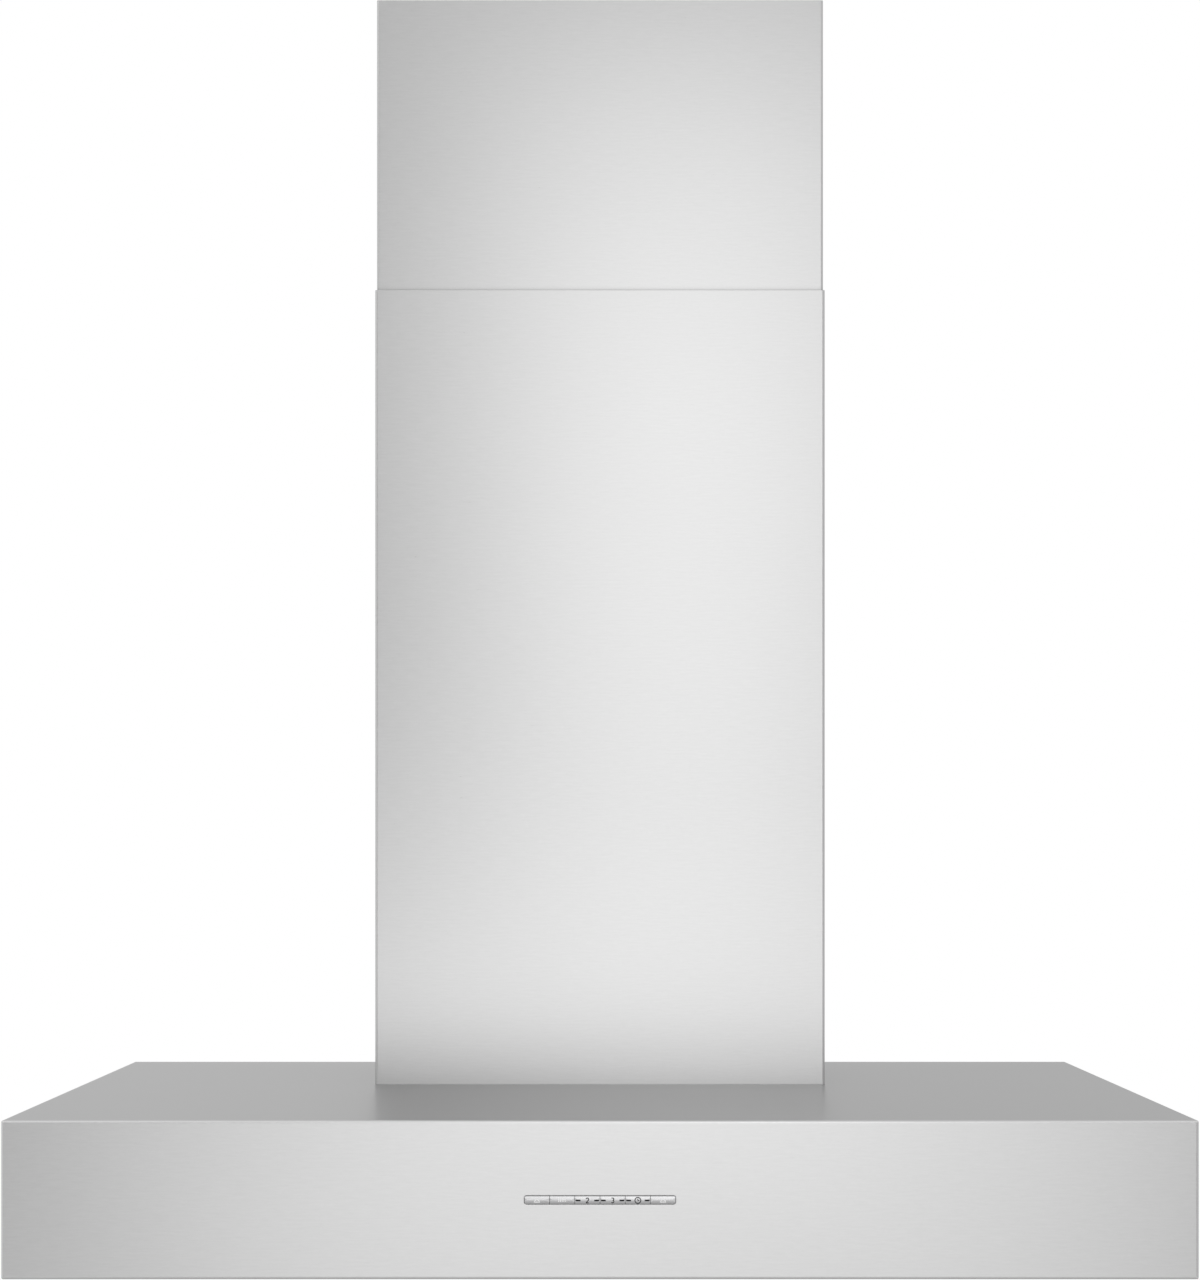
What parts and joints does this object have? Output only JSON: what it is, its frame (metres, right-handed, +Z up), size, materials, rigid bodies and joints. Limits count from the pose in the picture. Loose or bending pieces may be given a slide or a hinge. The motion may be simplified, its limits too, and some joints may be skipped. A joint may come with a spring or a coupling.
{
  "type": "wall mount range hood",
  "caption": "Wall-mounted box-canopy range hood with a telescoping flue cover, baffle filters, centrifugal blower, damped round outlet, lamps and push buttons.",
  "frame": {"origin": "centre of the four wall screw holes in the two hooks, on the wall plane", "axes": "+Z up, along the flue; +Y into the wall; +X to the right as seen by the cook"},
  "size_m": [0.76, 0.5006, 0.897],
  "materials": {
    "canopy_steel": "satin with a horizontal grain",
    "underside_steel": "satin",
    "flue_steel": "satin with a horizontal grain",
    "filter_steel": "satin",
    "galvanised_sheet": "galvanised",
    "turned_steel": "machined",
    "screw_zinc": "bright zinc plate",
    "button_chrome": "polished",
    "knob_steel": "turned and polished",
    "magnet_black": "matt",
    "lamp_trim": "satin",
    "lamp_glass": "frosted",
    "cast_aluminium": "as cast",
    "black_plastic": "fine texture",
    "circuit_board": "solder mask",
    "pale_plastic": "smooth",
    "gasket_rubber": "foam"
  },
  "bodies": {
    "hood": {"canopy_shell": "canopy_steel", "canopy_back_panel": "galvanised_sheet", "underside_panel": "underside_steel", "wall_hook_left": "galvanised_sheet", "wall_hook_right": "galvanised_sheet", "lower_flue_cover": "flue_steel", "lower_flue_screws": "screw_zinc", "filter_magnets": "magnet_black", "lamp_left_bezel": "lamp_trim", "lamp_left_lens": "lamp_glass", "lamp_left_heat_sink": "cast_aluminium", "lamp_right_bezel": "lamp_trim", "lamp_right_lens": "lamp_glass", "lamp_right_heat_sink": "cast_aluminium", "lamp_driver": "black_plastic", "control_carrier": "black_plastic", "control_board": "circuit_board", "control_studs": "turned_steel", "blower_box": "galvanised_sheet", "blower_gasket": "gasket_rubber", "foot_washers": "gasket_rubber", "blower_screws": "screw_zinc", "scroll_wrap": "galvanised_sheet", "scroll_side_left": "galvanised_sheet", "scroll_side_right": "galvanised_sheet", "motor_body": "cast_aluminium", "motor_bracket": "galvanised_sheet", "capacitor": "pale_plastic", "capacitor_clip": "galvanised_sheet", "duct_transition": "black_plastic", "duct_collar": "black_plastic", "adapter_screws": "screw_zinc", "damper_pin": "turned_steel", "wiring_box": "galvanised_sheet", "wiring_box_cover": "galvanised_sheet", "wiring_cover_screws": "screw_zinc", "terminal_block": "pale_plastic"},
    "upper_flue": {"upper_flue_cover": "flue_steel", "upper_flue_bracket": "galvanised_sheet", "upper_flue_screws": "screw_zinc"},
    "filter_left": {"filter_left_frame": "filter_steel", "filter_left_baffles": "filter_steel", "filter_left_knobs": "knob_steel"},
    "filter_right": {"filter_right_frame": "filter_steel", "filter_right_baffles": "filter_steel", "filter_right_knobs": "knob_steel"},
    "rotor": {"impeller_blades": "galvanised_sheet", "impeller_rings": "galvanised_sheet", "impeller_disc": "galvanised_sheet", "motor_shaft": "turned_steel"},
    "flap_front": {"damper_flap_front": "galvanised_sheet"},
    "flap_rear": {"damper_flap_rear": "galvanised_sheet"},
    "button_1": {"button_1": "button_chrome"},
    "button_2": {"button_2": "button_chrome"},
    "button_3": {"button_3": "button_chrome"},
    "button_4": {"button_4": "button_chrome"},
    "button_5": {"button_5": "button_chrome"},
    "button_6": {"button_6": "button_chrome"}
  },
  "joints": [
    {"name": "upper_flue_slide", "type": "slide", "parent": "hood", "child": "upper_flue", "axis": [0, 0, 1], "range_m": [-0.2, 0.26]},
    {"name": "filter_left_hinge", "type": "hinge", "parent": "hood", "child": "filter_left", "pos_m": [-0.18, -0.04, -0.049], "axis": [1, 0, 0], "range_deg": [0, 70]},
    {"name": "filter_right_hinge", "type": "hinge", "parent": "hood", "child": "filter_right", "pos_m": [0.18, -0.04, -0.049], "axis": [1, 0, 0], "range_deg": [0, 70]},
    {"name": "impeller_spin", "type": "hinge", "parent": "hood", "child": "rotor", "pos_m": [0, -0.0987, 0.19], "axis": [1, 0, 0], "continuous": true},
    {"name": "flap_front_swing", "type": "hinge", "parent": "hood", "child": "flap_front", "pos_m": [0, -0.1085, 0.368], "axis": [-1, 0, 0], "range_deg": [0, 75]},
    {"name": "flap_rear_swing", "type": "hinge", "parent": "hood", "child": "flap_rear", "pos_m": [0, -0.1085, 0.368], "axis": [1, 0, 0], "range_deg": [0, 75]},
    {"name": "button_1_press", "type": "slide", "parent": "hood", "child": "button_1", "axis": [0, 1, 0], "range_m": [0, 0.0012], "stiffness_N_per_m": 600, "springref_m": -0.002},
    {"name": "button_2_press", "type": "slide", "parent": "hood", "child": "button_2", "axis": [0, 1, 0], "range_m": [0, 0.0012], "stiffness_N_per_m": 600, "springref_m": -0.002},
    {"name": "button_3_press", "type": "slide", "parent": "hood", "child": "button_3", "axis": [0, 1, 0], "range_m": [0, 0.0012], "stiffness_N_per_m": 600, "springref_m": -0.002},
    {"name": "button_4_press", "type": "slide", "parent": "hood", "child": "button_4", "axis": [0, 1, 0], "range_m": [0, 0.0012], "stiffness_N_per_m": 600, "springref_m": -0.002},
    {"name": "button_5_press", "type": "slide", "parent": "hood", "child": "button_5", "axis": [0, 1, 0], "range_m": [0, 0.0012], "stiffness_N_per_m": 600, "springref_m": -0.002},
    {"name": "button_6_press", "type": "slide", "parent": "hood", "child": "button_6", "axis": [0, 1, 0], "range_m": [0, 0.0012], "stiffness_N_per_m": 600, "springref_m": -0.002}
  ]
}
